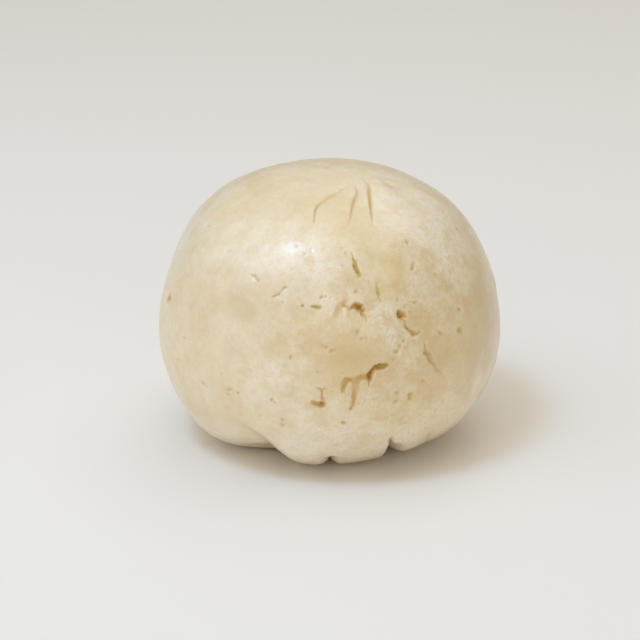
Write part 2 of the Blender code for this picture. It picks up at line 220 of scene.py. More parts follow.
# Swells and hollows left by the palms, on the crown, the sides and round the foot.
SWELLS = (
    Swell(around=0, up=90, spread=34, rise=-2.2 * MM),
    Swell(around=0, up=-90, spread=32, rise=2.8 * MM),
    Swell(around=-90, up=48, spread=24, rise=0.2 * MM),
    Swell(around=-90, up=20, spread=20, rise=-1.6 * MM),
    Swell(around=-90, up=-22, spread=20, rise=-1.0 * MM),
    Swell(around=90, up=52, spread=24, rise=-1.0 * MM),
    Swell(around=90, up=18, spread=20, rise=-1.3 * MM),
    Swell(around=90, up=-24, spread=20, rise=-0.6 * MM),
    Swell(around=-62, up=-38, spread=16, rise=2.9 * MM),
    Swell(around=-33, up=-43, spread=9, rise=-1.4 * MM),
    Swell(around=60, up=-36, spread=16, rise=1.1 * MM),
    Swell(around=-10, up=-40, spread=13, rise=1.5 * MM),
    Swell(around=12, up=-40, spread=12, rise=1.1 * MM),
    Swell(around=38, up=-38, spread=14, rise=1.3 * MM),
)

# Small pads of dough beside the tears and ridges between the creases.
PADS = (
    Swell(around=11.0, up=4.4, spread=1.3, rise=0.35 * MM),
    Swell(around=10.8, up=-2.2, spread=1.8, rise=0.35 * MM),
    Swell(around=5.5, up=23.3, spread=1.1, rise=0.35 * MM),
    Swell(around=-29.2, up=29.8, spread=0.9, rise=0.25 * MM),
    Swell(around=-16.4, up=27.6, spread=0.9, rise=0.25 * MM),
    Swell(around=50, up=67, spread=3.4, rise=0.35 * MM),
    Swell(around=64, up=71, spread=3.2, rise=0.3 * MM),
    Swell(around=67.5, up=67, spread=2.2, rise=-0.4 * MM),
)

# Folds gathered under the front.
FRONT_FOLDS = (
    # The long edge of a flap on the left, lying over the lobe beyond it.
    Fold(path=((-36, -15.5), (-32.5, -18.8), (-29.2, -22), (-26.4, -25.6), (-25, -29.4),
               (-24, -36), (-23.6, -44), (-25.5, -58), (-28, -70)),
         depth=0.8 * MM, valley=2.8 * MM, valley_width=3.6 * MM, flap=2.4 * MM),
    # A notch in the middle.
    Fold(path=((0.8, -31), (0.5, -35), (0, -42), (-1.5, -62)),
         depth=1.4 * MM, valley=1.5 * MM, valley_width=2.0 * MM),
    # A narrow slit on the right, and the notch that it opens into below.
    Fold(path=((22.6, -22), (23.2, -25.5), (25, -29.8), (27.6, -34), (31, -40)),
         depth=2.4 * MM, valley=0.2 * MM, valley_width=1.4 * MM),
    Fold(path=((24.6, -27), (27.2, -32), (31.6, -41), (38.5, -54), (44, -64)),
         depth=0.4 * MM, valley=3.4 * MM, valley_width=2.3 * MM),
    # A faint one at the far right.
    Fold(path=((38, -22), (41, -28), (48, -38), (58, -48)),
         depth=0.4 * MM, valley=0.3 * MM, valley_width=5 * MM),
)

CREASES = (
    # Three that run down from the crown,
    Mark(path=((55, 76), (43, 70.5), (34.2, 66), (27.8, 60.5), (24.8, 56.5), (21.5, 51)),
         widths=(0.6 * MM, 0.9 * MM, 1.0 * MM, 1.0 * MM, 0.8 * MM, 0.5 * MM),
         depths=(0.1 * MM, 0.5 * MM, 0.8 * MM, 0.8 * MM, 0.5 * MM, 0.1 * MM), torn=False),
    Mark(path=((30, 73), (24.2, 67.2), (18.2, 63.5), (14.5, 59.8), (10.2, 52.8)),
         widths=(0.6 * MM, 0.8 * MM, 0.9 * MM, 0.9 * MM, 0.5 * MM),
         depths=(0.1 * MM, 0.5 * MM, 0.6 * MM, 0.5 * MM, 0.2 * MM), torn=False),
    Mark(path=((25, 74), (9.5, 69.5), (0.5, 66.5), (-4.8, 63.5), (-9.2, 60.2), (-8.8, 53.2)),
         widths=(0.5 * MM, 0.7 * MM, 0.8 * MM, 0.8 * MM, 0.9 * MM, 0.6 * MM),
         depths=(0.1 * MM, 0.35 * MM, 0.5 * MM, 0.5 * MM, 0.6 * MM, 0.3 * MM), torn=False),
    # and a soft bay on the left of the double pit.
    Mark(path=((1.8, 21.8), (2.6, 23.2), (3.8, 24.9), (5.2, 26.4)),
         widths=(2.0 * MM, 2.8 * MM, 2.8 * MM, 2.0 * MM),
         depths=(0.3 * MM, 0.45 * MM, 0.5 * MM, 0.45 * MM), torn=False),
)

# Wrinkles along the flap's edge, on the lobe that it lies over.
WRINKLES = (
    Mark(path=((-35.5, -21), (-31.5, -24), (-28, -27.5), (-26.5, -31)),
         widths=(0.5 * MM, 0.6 * MM, 0.6 * MM, 0.4 * MM),
         depths=(0.1 * MM, 0.35 * MM, 0.4 * MM, 0.2 * MM), torn=False),
    Mark(path=((-37.5, -24), (-33.5, -27), (-30, -30)),
         widths=(0.5 * MM, 0.6 * MM, 0.4 * MM),
         depths=(0.1 * MM, 0.3 * MM, 0.15 * MM), torn=False),
    Mark(path=((-34.5, -28.5), (-31, -31.5), (-28.5, -34)),
         widths=(0.4 * MM, 0.5 * MM, 0.4 * MM),
         depths=(0.1 * MM, 0.28 * MM, 0.1 * MM), torn=False),
)

# Tears and pits of the front.
TEARS = (
    # A slit below the crown, leaning to the right.
    Mark(path=((8.8, 41.5), (9.5, 39.6), (9.9, 38.2), (10.1, 36.8), (10.8, 35.2), (11.4, 33.6)),
         widths=(0.25 * MM, 0.45 * MM, 0.7 * MM, 0.8 * MM, 0.8 * MM, 0.3 * MM),
         depths=(0.2 * MM, 0.5 * MM, 1.0 * MM, 1.3 * MM, 1.3 * MM, 0.3 * MM)),
    # A shorter one to its right.
    Mark(path=((16.6, 30.9), (16.9, 28), (17.5, 25.2)),
         widths=(0.4 * MM, 0.6 * MM, 0.45 * MM),
         depths=(0.25 * MM, 0.6 * MM, 0.25 * MM)),
    # A double pit in the middle: a neck and a deep hole with a tail, beside the soft bay.
    Mark(path=((5.0, 25.0), (6.4, 24.4), (8.0, 24.6)),
         widths=(0.7 * MM, 0.55 * MM, 0.8 * MM),
         depths=(0.6 * MM, 0.6 * MM, 1.0 * MM)),
    Mark(path=((8.4, 24.9), (9.6, 24.0), (10.3, 22.7)),
         widths=(0.85 * MM, 1.3 * MM, 0.9 * MM),
         depths=(1.4 * MM, 2.3 * MM, 1.7 * MM)),
    Mark(path=((10.4, 22.4), (11.4, 21.6), (12.0, 20.6)),
         widths=(0.7 * MM, 0.6 * MM, 0.35 * MM),
         depths=(1.0 * MM, 0.6 * MM, 0.25 * MM)),
    # A round pit with a crack that runs down from it and turns.
    Mark(path=((23.9, 20.6), (24.1, 19.9)),
         widths=(1.2 * MM, 1.2 * MM),
         depths=(1.7 * MM, 1.7 * MM)),
    Mark(path=((24.3, 18.8), (25.4, 16.9), (26.4, 15.4), (27.5, 14.2), (28.8, 14.0), (30.4, 14.8)),
         widths=(0.4 * MM, 0.45 * MM, 0.5 * MM, 0.75 * MM, 0.5 * MM, 0.35 * MM),
         depths=(0.5 * MM, 0.8 * MM, 0.8 * MM, 1.0 * MM, 0.6 * MM, 0.2 * MM)),
    # A long crack lower on the right, with a side branch.
    Mark(path=((31.6, 9.8), (31.6, 8), (33.2, 5.5), (34.8, 2.5), (35.8, 0.6)),
         widths=(0.5 * MM, 0.8 * MM, 0.7 * MM, 0.55 * MM, 0.4 * MM),
         depths=(0.35 * MM, 0.9 * MM, 0.8 * MM, 0.5 * MM, 0.2 * MM)),
    Mark(path=((34.6, 4.0), (36.4, 1.4), (38.8, -2.4)),
         widths=(0.4 * MM, 0.35 * MM, 0.25 * MM),
         depths=(0.4 * MM, 0.35 * MM, 0.15 * MM)),
    # The widest tear: a narrow deep crack, blunt at its right end,
    Mark(path=((17.4, 5.3), (16.2, 5.0), (15.0, 4.8), (13.8, 4.3), (12.8, 3.7),
               (12.2, 2.6), (12.0, 1.2), (12.0, -0.4)),
         widths=(0.8 * MM, 0.8 * MM, 0.75 * MM, 0.85 * MM,
                 0.95 * MM, 0.8 * MM, 0.6 * MM, 0.35 * MM),
         depths=(1.6 * MM, 1.9 * MM, 2.2 * MM, 2.5 * MM,
                 2.8 * MM, 2.2 * MM, 1.2 * MM, 0.3 * MM)),
    # the shallow ledge that it opens into on the left,
    Mark(path=((11.8, 2.2), (10, 2.0), (8.4, 1.6), (6.4, 1.9)),
         widths=(1.2 * MM, 1.4 * MM, 1.2 * MM, 0.8 * MM),
         depths=(1.2 * MM, 1.0 * MM, 0.8 * MM, 0.9 * MM)),
    # and two branches that hang from the ledge.
    Mark(path=((6.4, 1.9), (4.9, 1.2), (4.3, -0.4), (3.9, -2.4)),
         widths=(0.7 * MM, 0.7 * MM, 0.65 * MM, 0.45 * MM),
         depths=(0.9 * MM, 1.1 * MM, 1.1 * MM, 0.7 * MM)),
    Mark(path=((8.4, 1.2), (8.1, -1), (7.7, -3.2), (7.1, -5.6), (6.5, -8.4)),
         widths=(1.0 * MM, 1.05 * MM, 0.95 * MM, 0.85 * MM, 0.6 * MM),
         depths=(0.8 * MM, 0.6 * MM, 0.9 * MM, 0.6 * MM, 0.6 * MM)),
    # A round-bottomed pit to the left of it, with a forked neck.
    Mark(path=((-5.4, -5.6), (-4.6, -6.7), (-3.4, -7.0), (-2.2, -6.2), (-1.8, -5.2)),
         widths=(0.5 * MM, 1.0 * MM, 1.15 * MM, 0.9 * MM, 0.5 * MM),
         depths=(0.5 * MM, 1.2 * MM, 1.3 * MM, 1.0 * MM, 0.4 * MM)),
    Mark(path=((-4.0, -1.5), (-3.0, -2.2), (-2.5, -3.5), (-2.1, -5.2)),
         widths=(0.5 * MM, 0.5 * MM, 0.5 * MM, 0.5 * MM),
         depths=(0.45 * MM, 0.5 * MM, 0.5 * MM, 0.6 * MM)),
    Mark(path=((-1.6, -1.4), (-2.8, -2.6)),
         widths=(0.4 * MM, 0.4 * MM),
         depths=(0.35 * MM, 0.4 * MM)),
    # Small pits on the upper left.
    Mark(path=((-29.8, 32), (-27.2, 31.2)),
         widths=(0.4 * MM, 0.4 * MM), depths=(0.35 * MM, 0.3 * MM)),
    Mark(path=((-20.4, 27), (-18.4, 27.6)),
         widths=(0.4 * MM, 0.5 * MM), depths=(0.4 * MM, 0.3 * MM)),
    Mark(path=((-17.4, 28.8), (-16.5, 30.0), (-15.6, 30.0)),
         widths=(0.4 * MM, 0.5 * MM, 0.3 * MM), depths=(0.35 * MM, 0.45 * MM, 0.25 * MM)),
    Mark(path=((-6.0, 24.3), (-4.2, 24.3)),
         widths=(0.6 * MM, 0.55 * MM), depths=(0.7 * MM, 0.6 * MM)),
    Mark(path=((-9.4, 24.9), (-8.9, 25)),
         widths=(0.45 * MM, 0.45 * MM), depths=(0.5 * MM, 0.5 * MM)),
)

# Pin-sized pits: around, up, half width in mm and depth in mm.
PIN_PITS = (
    (-14.2, 43.5, 0.32, 0.33), (-10, 41, 0.29, 0.23), (-8.5, 42.5, 0.29, 0.26),
    (6.5, 41, 0.40, 0.45), (6.8, 32.8, 0.57, 0.33), (9.2, 29.3, 0.52, 0.52),
    (34.2, 42.6, 0.52, 0.52), (27.2, 42.2, 0.57, 0.26), (32.5, 34.2, 0.69, 0.59),
    (33.6, 35.0, 0.52, 0.39), (23.8, 25.5, 0.57, 0.39), (25.8, 23, 0.46, 0.33),
    (29.8, 23, 0.46, 0.45), (27.6, 21.4, 0.40, 0.33), (31.5, 18.5, 0.46, 0.39),
    (29.4, 17.2, 0.40, 0.33), (48, 17.8, 0.57, 0.65), (46.8, 11.5, 0.69, 0.78),
    (38, 12.5, 0.46, 0.52), (8.8, 16.8, 0.69, 0.45), (7.2, 16.9, 0.46, 0.33),
    (10, 14.5, 0.57, 0.39), (11.8, 14.3, 0.46, 0.33), (15.2, 13.5, 0.57, 0.26),
    (18.8, 16.8, 0.57, 0.26), (0.8, 10.8, 0.57, 0.65), (-1.5, 12.3, 0.57, 0.59),
    (-2.4, 12.5, 0.46, 0.39), (21.2, 9.8, 0.69, 0.52), (22.2, 11.0, 0.57, 0.45),
    (23.5, 12.2, 0.69, 0.52), (20.2, 7, 0.57, 0.45), (25.2, 1.5, 0.46, 0.20),
    (25.5, -1.8, 0.46, 0.20), (30.8, -2, 0.46, 0.59), (21.4, -4.3, 0.69, 0.65),
    (21.0, -7.3, 0.57, 0.52), (26.2, -5.6, 0.69, 0.90), (26.0, -7.0, 0.69, 0.90),
    (24.8, -15, 0.57, 0.33), (26, -16.8, 0.40, 0.39), (3.8, -13.8, 0.69, 0.72),
    (2.2, -24.2, 0.46, 0.26), (-16, -13.8, 0.57, 0.59), (-16.2, -15.2, 0.52, 0.45),
    (-23.5, -13.2, 0.46, 0.33), (-19.2, -6.6, 0.57, 0.59), (-17.8, -7.2, 0.46, 0.45),
    (-30.8, -6.2, 0.57, 0.72), (-34.8, -5.6, 0.57, 0.59), (-34.9, -7.4, 0.52, 0.52),
    (-33.8, -5.0, 0.46, 0.45), (-45.6, -6.8, 0.57, 0.59), (-44.2, -7.4, 0.46, 0.45),
    (-37, -0.5, 0.57, 0.26), (-29, -1.5, 0.40, 0.26), (-13, 8.8, 0.46, 0.65),
    (-11.2, 12, 0.57, 0.33), (-10.2, 15.8, 0.40, 0.26), (-35.8, 11.2, 0.46, 0.26),
    (-40.2, 9.2, 0.40, 0.26), (-44.8, 16, 0.46, 0.26), (-45.7, 11.6, 0.46, 0.33),
    (-2.8, 27.2, 0.57, 0.52), (-1.6, 27.6, 0.46, 0.39), (-6.5, 55.8, 0.46, 0.45),
    (72.1, 40.4, 0.57, 0.65),
)

# More of them, scattered by a rule over the rest of the ball.
SCATTER_SEED = 57
SCATTER_COUNT = 70
SCATTER_AROUND = (50, 310)
SCATTER_UP = (-38, 75)
SCATTER_WIDTH = (0.35 * MM, 0.6 * MM)
SCATTER_DEPTH = (0.3 * MM, 0.6 * MM)

# Pale on the lips and pads by the tears. The wide patches are painted light: a painted sheen round
# the highlight and on the upper left, painted light on the upper right, and painted bounce light
# on the lower lobes.
PALE_AND_PAINTED_LIGHT_PATCHES = (
    Patch(around=-34, up=5, spread=12, amount=0.7),
    Patch(around=-19, up=4, spread=8, amount=0.9),
    Patch(around=-34, up=19, spread=7, amount=0.4),
    Patch(around=-30, up=38, spread=14, amount=0.4),
    Patch(around=-6, up=33, spread=9, amount=0.5),
    Patch(around=33.6, up=2, spread=2.5, amount=0.7),
    Patch(around=-76, up=38, spread=17, amount=1.0),
    Patch(around=-40, up=42, spread=14, amount=0.4),
    Patch(around=-14, up=42, spread=10, amount=0.8),
    Patch(around=41, up=34, spread=9, amount=1.0),
    Patch(around=54, up=40, spread=11, amount=0.7),
    Patch(around=43, up=22, spread=5, amount=0.6),
    Patch(around=40, up=63.5, spread=4, amount=1.0),
    Patch(around=36, up=52, spread=9, amount=0.5),
    Patch(around=28, up=30, spread=4, amount=0.5),
    Patch(around=58, up=-17, spread=10, amount=1.0),
    Patch(around=74, up=42, spread=12, amount=0.4),
    Patch(around=62, up=58, spread=12, amount=0.7),
    Patch(around=-4, up=-11, spread=7, amount=1.0),
    Patch(around=-20, up=-9, spread=8, amount=0.4),
    Patch(around=-42, up=-14, spread=9, amount=0.5),
    Patch(around=0, up=-30, spread=14, amount=0.8),
    Patch(around=29, up=-29, spread=12, amount=1.0),
    Patch(around=12, up=-27, spread=8, amount=0.5),
    Patch(around=48, up=-22, spread=13, amount=0.8),
    Patch(around=-44, up=-34, spread=10, amount=0.4),
    Patch(around=9, up=31, spread=6, amount=0.6),
    Patch(around=18.5, up=21.5, spread=4, amount=0.8),
    Patch(around=22, up=15.5, spread=2.5, amount=1.0),
    Patch(around=28, up=11.5, spread=2.5, amount=1.0),
    Patch(around=12.4, up=24, spread=2.4, amount=0.8),
    Patch(around=20.5, up=16.5, spread=3, amount=0.8),
    Patch(around=-11, up=-24, spread=8, amount=0.6),
    Patch(around=6, up=28, spread=3, amount=0.5),
    Patch(around=18, up=12.5, spread=4, amount=0.9),
    Patch(around=14.0, up=1.0, spread=2.4, amount=0.9),
    Patch(around=10.8, up=-4.0, spread=2.6, amount=0.9),
    Patch(around=6.0, up=22.4, spread=1.5, amount=1.0),
    Patch(around=10.5, up=20.2, spread=1.9, amount=0.9),
    Patch(around=-29.2, up=29.8, spread=1.0, amount=0.8),
    Patch(around=-16.2, up=27.5, spread=1.3, amount=0.9),
    Patch(around=50, up=67, spread=3.4, amount=0.5),
)

# Yellow where the maize shows.
STAINS = (
    Patch(around=24, up=37, spread=5.5, amount=0.7),
    Patch(around=24, up=28, spread=5, amount=0.5),
    Patch(around=31, up=18, spread=6, amount=0.8),
    Patch(around=38, up=6, spread=7, amount=0.8),
    Patch(around=8, up=10, spread=8, amount=0.6),
    Patch(around=52, up=6, spread=8, amount=0.4),
    Patch(around=14, up=4, spread=6, amount=0.4),
    Patch(around=4, up=3, spread=7, amount=0.4),
    Patch(around=22, up=-8, spread=12, amount=0.3),
    Patch(around=38, up=-12, spread=13, amount=0.3),
    Patch(around=60, up=10, spread=14, amount=0.3),
    Patch(around=11, up=56, spread=6, amount=0.4),
    Patch(around=7, up=33, spread=2.2, amount=0.5),
    Patch(around=62, up=66, spread=3, amount=0.4),
    Patch(around=60, up=60.8, spread=2.5, amount=0.3),
    Patch(around=5.0, up=49.5, spread=3, amount=0.4),
)

# Painted shade: darker buff patches where the ball lies in shade, most of all on its right side.
PAINTED_SHADE_PATCHES = (
    Patch(around=35, up=5, spread=6, amount=0.6),
    Patch(around=62, up=7, spread=20, amount=0.4),
    Patch(around=52, up=13, spread=10, amount=0.15),
    Patch(around=29, up=18.5, spread=3.5, amount=0.5),
    Patch(around=3, up=11, spread=8, amount=0.35),
    Patch(around=11, up=9, spread=6, amount=0.3),
    Patch(around=74, up=8, spread=13, amount=0.15),
    Patch(around=-26, up=25, spread=12, amount=0.35),
    Patch(around=-48, up=22, spread=10, amount=0.15),
    Patch(around=-10, up=-4, spread=6, amount=0.2),
    Patch(around=22, up=-2, spread=5, amount=0.3),
    Patch(around=78, up=24, spread=16, amount=0.2),
)

# Where the skin is rough and mealy.
ROUGH_PATCHES = (
    Patch(around=8, up=12, spread=26, amount=0.8),
    Patch(around=32, up=21, spread=12, amount=0.5),
    Patch(around=52, up=24, spread=24, amount=0.8),
    Patch(around=30, up=-15, spread=24, amount=0.5),
    Patch(around=180, up=20, spread=60, amount=0.6),
)

# Colours of the dough, as light that it sends back.
CREAM = (0.85, 0.718, 0.488, 1)
# A pale for random clouds and flecks, for pale pads, and for painted light.
PALE_AND_PAINTED_LIGHT = (0.93, 0.85, 0.70, 1)
MAIZE = (0.80, 0.64, 0.33, 1)
# A buff for painted shade.
PAINTED_SHADE_BUFF = (0.63, 0.50, 0.30, 1)
BLUSH = (0.85, 0.67, 0.48, 1)
OCHRE = (0.74, 0.56, 0.29, 1)
CREASE_OCHRE = (0.73, 0.525, 0.235, 1)
# A brown for painted shade in the folds and under the ball.
PAINTED_SHADE_BROWN = (0.58, 0.36, 0.14, 1)
AMBER = (0.77, 0.50, 0.14, 1)
DEEP_AMBER = (0.55, 0.32, 0.045, 1)

# Noise that breaks the tints up, from the widest lumps to the finest.
CLOUDS = Noise(size=34 * MM, low=0.42, high=0.7, detail=2)
BLOTCHES = Noise(size=26 * MM, low=0.45, high=0.75)
DRIFTS = Noise(size=13 * MM, low=0.44, high=0.64, detail=4, roughness=0.6)
BLUSHES = Noise(size=11 * MM, low=0.5, high=0.68)
MOTTLE = Noise(size=6 * MM, low=0.42, high=0.66, detail=4, roughness=0.65)
FLECKS = Noise(size=1.8 * MM, low=0.38, high=0.62, roughness=0.6)
TORN_CRUMB = Noise(size=1.3 * MM, low=0.3, high=0.7, roughness=0.6)
MEAL = Noise(size=0.9 * MM, low=0.47, high=0.73)

# Small round specks and smaller pores. Their edges fade over a share of their radius.
SPECKS = dict(spacing=3.4 * MM, radius=0.5 * MM, share=0.4)
PORES = dict(spacing=1.5 * MM, radius=0.28 * MM, share=0.5)
SPECK_EDGE = 0.5

# How strongly each tint shows: a pair is for smooth and for rough skin.
PALE_AND_PAINTED_LIGHT_TINT = 0.9
CLOUD_TINT = 0.2
FLECK_TINT = (0.3, 0.7)
STAIN_TINT = 0.9
BLOTCH_TINT = 0.3
BLUSH_TINT = 0.15
DRIFT_TINT = (0.15, 0.3)
MOTTLE_TINT = (0.25, 0.75)
MEAL_TINT = (0.25, 0.75)
HALO_TINT = 0.35
FOLD_SHADE_TINT = 0.9
UNDER_SHADE_TINT = 0.8
SPECK_TINT = 0.45
PORE_TINT = 0.15

# The painted shade's tint between the drifts and in them, and the creases' tint for each mm of
# depth, which is partly painted shade.
PAINTED_SHADE_TINT = (0.6, 1.2)
CREASE_TINT = 1.8

# Depths of a tear in mm over which it turns ochre, amber and deep amber: partly the torn dough's
# own amber, and partly painted shade that deepens with the depth. For the last two the depth is
# first multiplied by the crumb's noise, taken between the two shares.
TORN_OCHRE = (0.02, 0.5)
TORN_AMBER = (0.75, 1.6)
TORN_DEEP_AMBER = (1.1, 2.0)
CRUMB_SHARE = (0.65, 1.35)

# Relief finer than the mesh, in mm, where a pair is for smooth and for rough skin.
FINE_LUMPS = Noise(size=2.4 * MM, detail=2)
FINE_GRAIN = Noise(size=0.8 * MM)
LUMP_HEIGHT = 0.12
GRAIN_HEIGHT = (0.04, 0.1)
SPECK_DEPTH = 0.12
PORE_DEPTH = 0.05

# Roughness of the skin, and what its mottle, its grain and the torn dough add to it.
SKIN_ROUGHNESS = 0.42
MOTTLE_ROUGHNESS = 0.08
GRAIN_ROUGHNESS = 0.1
TORN_ROUGHNESS = 0.15
TORN_ROUGH_DEPTHS = (0.2, 1.5)

# The same all over: light sinks a few mm into the dough, and a film of moisture lies on it.
DOUGH_ALL_OVER = {
    "Subsurface Weight": 0.4,
    "Subsurface Radius": (1.0, 0.55, 0.25),
    "Subsurface Scale": 3 * MM,
    "Coat Weight": 0.85,
    "Coat Roughness": 0.24,
}

# Where a Mix node of colours has its factor, its two colours and its result.
MIX_FACTOR, MIX_UNDER, MIX_OVER, MIX_RESULT = 0, 6, 7, 2

FLOOR_SIZE = 6
FLOOR_WHITE = (0.92, 0.915, 0.91, 1)
FLOOR_ROUGHNESS = 0.6

# The photograph's view, and the light in it.
VIEW_AIM = (-3.02 * MM, 0, 34.9 * MM)
VIEW_UP = 20
VIEW_DISTANCE = 0.66
VIEW_ANGLE = 17
KEY_PLACE = (-0.37, -0.35, 1.11)
WIDE_LIGHT = 1.2
LAMPS = (
    # From high on the left: a small blue one for the highlight, and a wide warm one.
    Lamp("key_light", KEY_PLACE, size=0.24, power=3.1, colour=(0.42, 0.68, 1.0)),
    Lamp("high_light", KEY_PLACE, size=0.8, power=2.1, colour=(1.0, 0.93, 0.86)),
    # Wide ones all round: above on the right, left, left front, front and rear.
    Lamp("top_light", (0.35, 0.3, 1.35), WIDE_LIGHT, power=4.1, colour=(1.0, 0.94, 0.85)),
    Lamp("left_window", (-1.0, 0.0, 1.0), WIDE_LIGHT, power=2.1, colour=(0.88, 0.96, 1.0)),
    Lamp("left_front_light", (-0.9, -0.9, 0.8), WIDE_LIGHT, power=1.5, colour=(1.0, 1.0, 1.0)),
    Lamp("front_light", (0.15, -1.4, 0.25), WIDE_LIGHT, power=3.9, colour=(1.0, 0.93, 0.80)),
    Lamp("rear_light", (0.2, 1.2, 1.0), WIDE_LIGHT, power=1.4, colour=(1.0, 0.97, 0.92)),
)
ROOM_COLOUR = (1.0, 0.91, 0.77, 1)
ROOM_STRENGTH = 0.38


def direction(around, up):
    """Unit vectors `around` degrees right of the front and `up` degrees above level."""
    turned = np.radians(around)
    raised = np.radians(up)
    right = np.sin(turned) * np.cos(raised)
    forward = np.cos(turned) * np.cos(raised)
    return np.stack([right, -forward, np.sin(raised)], axis=-1)


def round_form(directions):
    """Distance to a superellipsoid, taller above the heart than below it."""
    level = np.hypot(directions[:, 0] / (BALL_WIDTH / 2), directions[:, 1] / (BALL_DEPTH / 2))
    above = directions[:, 2] >= 0
    power = np.where(above, CROWN_POWER, SAG_POWER)
    rise = np.where(above, CROWN_RISE, SAG_DROP)
    return (level ** power + (np.abs(directions[:, 2]) / rise) ** power) ** (-1 / power)


def bell(directions, around, up, spread):
    """1 in the given direction, falling as a bell curve of the angle from it."""
    cosine = directions @ direction(around, up)
    apart = np.degrees(np.arccos(np.clip(cosine, -1, 1)))
    return np.exp(-(apart / spread) ** 2)


def swollen(directions, swells):
    """Rise of the skin: a bell curve round the middle of each swell."""
    return sum(swell.rise * bell(directions, swell.around, swell.up, swell.spread)
               for swell in swells)


def patched(directions, patches):
    """Amount of a tint, from 0 to 1: the sum of a bell curve round each patch."""
    total = sum(patch.amount * bell(directions, patch.around, patch.up, patch.spread)
                for patch in patches)
    return np.clip(total, 0, 1)


def swell_by(places, waves, shift=0):
    """Height of waves at places: sines in seeded directions, over the root of their count."""
    draw = np.random.default_rng(waves.seed + shift)
    headings = draw.normal(size=(waves.count, 3))
    headings /= np.linalg.norm(headings, axis=1)[:, None]
    turns = 2 * np.pi / draw.uniform(*waves.lengths, size=waves.count)
    starts = draw.uniform(0, 2 * np.pi, size=waves.count)
    total = np.sin(places @ (headings * turns[:, None]).T + starts).sum(axis=1)
    return waves.height * total / np.sqrt(waves.count)


def ground_reach(directions):
    """Distance from the heart to the ground: the heart's height over each direction's fall."""
    return HEART_HEIGHT / np.maximum(-directions[:, 2], NEARLY_LEVEL)


def settle_on_foot(directions, reach):
    """Smooth minimum of a reach and the ground's: the lesser, rounded off where they are close."""
    ground = ground_reach(directions)
    close = np.clip(1 - np.abs(reach - ground) / FOOT_ROUNDING, 0, None)
    return np.minimum(reach, ground) - FOOT_ROUNDING / 4 * close ** 2


def smooth_path(path):
    """Directions along the Catmull-Rom curve through a path's points, PATH_STEPS to a span."""
    corners = direction(*np.array(path, dtype=float).T)
    ends = np.vstack([2 * corners[0] - corners[1], corners, 2 * corners[-1] - corners[-2]])
    before, start, end, after = ends[:-3], ends[1:-2], ends[2:-1], ends[3:]
    along = np.arange(PATH_STEPS)[:, None, None] / PATH_STEPS
    curve = 0.5 * (2 * start + (end - before) * along
                   + (2 * before - 5 * start + 4 * end - after) * along ** 2
                   + (3 * start - before - 3 * end + after) * along ** 3)
    line = np.vstack([curve.transpose(1, 0, 2).reshape(-1, 3), corners[-1:]])
    return line / np.linalg.norm(line, axis=1)[:, None]


def near_path(directions, path):
    """Indexes of the directions inside the circle round a path, widened by MARK_MARGIN degrees.

    The circle's middle is the mean of the path's points, and it reaches the farthest of them.
    """
    corners = direction(*np.array(path, dtype=float).T)
    middle = corners.mean(axis=0) / np.linalg.norm(corners.mean(axis=0))
    widest = np.degrees(np.arccos(np.clip(corners @ middle, -1, 1))).max()
    return np.flatnonzero(directions @ middle > np.cos(np.radians(widest + MARK_MARGIN)))


def beside_path(directions, path):
    """How far each direction lies from a path, and how many points along the path that is.

    The first is the least distance to the path's straight steps, and counts as positive to
    the left of the path.
    """
    line = smooth_path(path)
    nearest = np.full(len(directions), np.inf)
    beside = np.zeros(len(directions))
    count = np.zeros(len(directions))
    for step, (start, end) in enumerate(zip(line[:-1], line[1:])):
        run = end - start
        share = np.clip((directions - start) @ run / (run @ run), 0, 1)
        apart = np.linalg.norm(directions - start - share[:, None] * run, axis=1)
        side = np.where(directions @ np.cross(start, end) >= 0, 1, -1)
        closer = apart < nearest
        nearest = np.where(closer, apart, nearest)
        beside = np.where(closer, side * apart, beside)
        count = np.where(closer, (step + share) / PATH_STEPS, count)
    return beside, count


def nearest_on_path(directions, path):
    """Least distance to a path's straight steps, and the way to that point, for each direction."""
    line = smooth_path(path)
    nearest = np.full(len(directions), np.inf)
    way = np.zeros_like(directions)
    for start, end in zip(line[:-1], line[1:]):
        run = end - start
        share = np.clip((directions - start) @ run / (run @ run), 0, 1)
        across = start + share[:, None] * run - directions
        apart = np.linalg.norm(across, axis=1)
        closer = apart < nearest
        nearest = np.where(closer, apart, nearest)
        way = np.where(closer[:, None], across, way)
    return nearest, way


def spread_round(draw, first, last, count):
    """Turns from first to last, evenly set but for a seeded wander."""
    return np.linspace(first, last, count) + draw.uniform(-BACK_WANDER, BACK_WANDER, size=count)


def back_swells():
    """Swells and hollows of the back, by turns."""
    draw = np.random.default_rng(BACK_SWELL_SEED)
    swells = []
    for step, around in enumerate(spread_round(draw, *BACK_SWELL_AROUND, BACK_SWELL_COUNT)):
        rise = draw.uniform(*BACK_SWELL_RISE) * (-1) ** step
        up = draw.uniform(*BACK_SWELL_UP)
        swells.append(Swell(around, up, draw.uniform(*BACK_SWELL_SPREAD), rise))
    return tuple(swells)


def back_folds():
    """Folds that gather under the sides and the back, every other one with a flap."""
    draw = np.random.default_rng(BACK_FOLD_SEED)
    folds = []
    for step, place in enumerate(spread_round(draw, BACK_FROM, BACK_TO, BACK_FOLD_COUNT)):
        lean = draw.uniform(-BACK_WANDER, BACK_WANDER)
        top = draw.uniform(*BACK_FOLD_TOP)
        middle = (top + BACK_FOLD_END) / 2
        depth = draw.uniform(*BACK_FOLD_DEPTH)
        path = ((place, top), (place + lean, middle), (place + lean / 2, BACK_FOLD_END))
        flap = BACK_FOLD_FLAP * (step % 2)
        folds.append(Fold(path, depth / 2, depth, BACK_FOLD_VALLEY_WIDTH, flap))
    return tuple(folds)


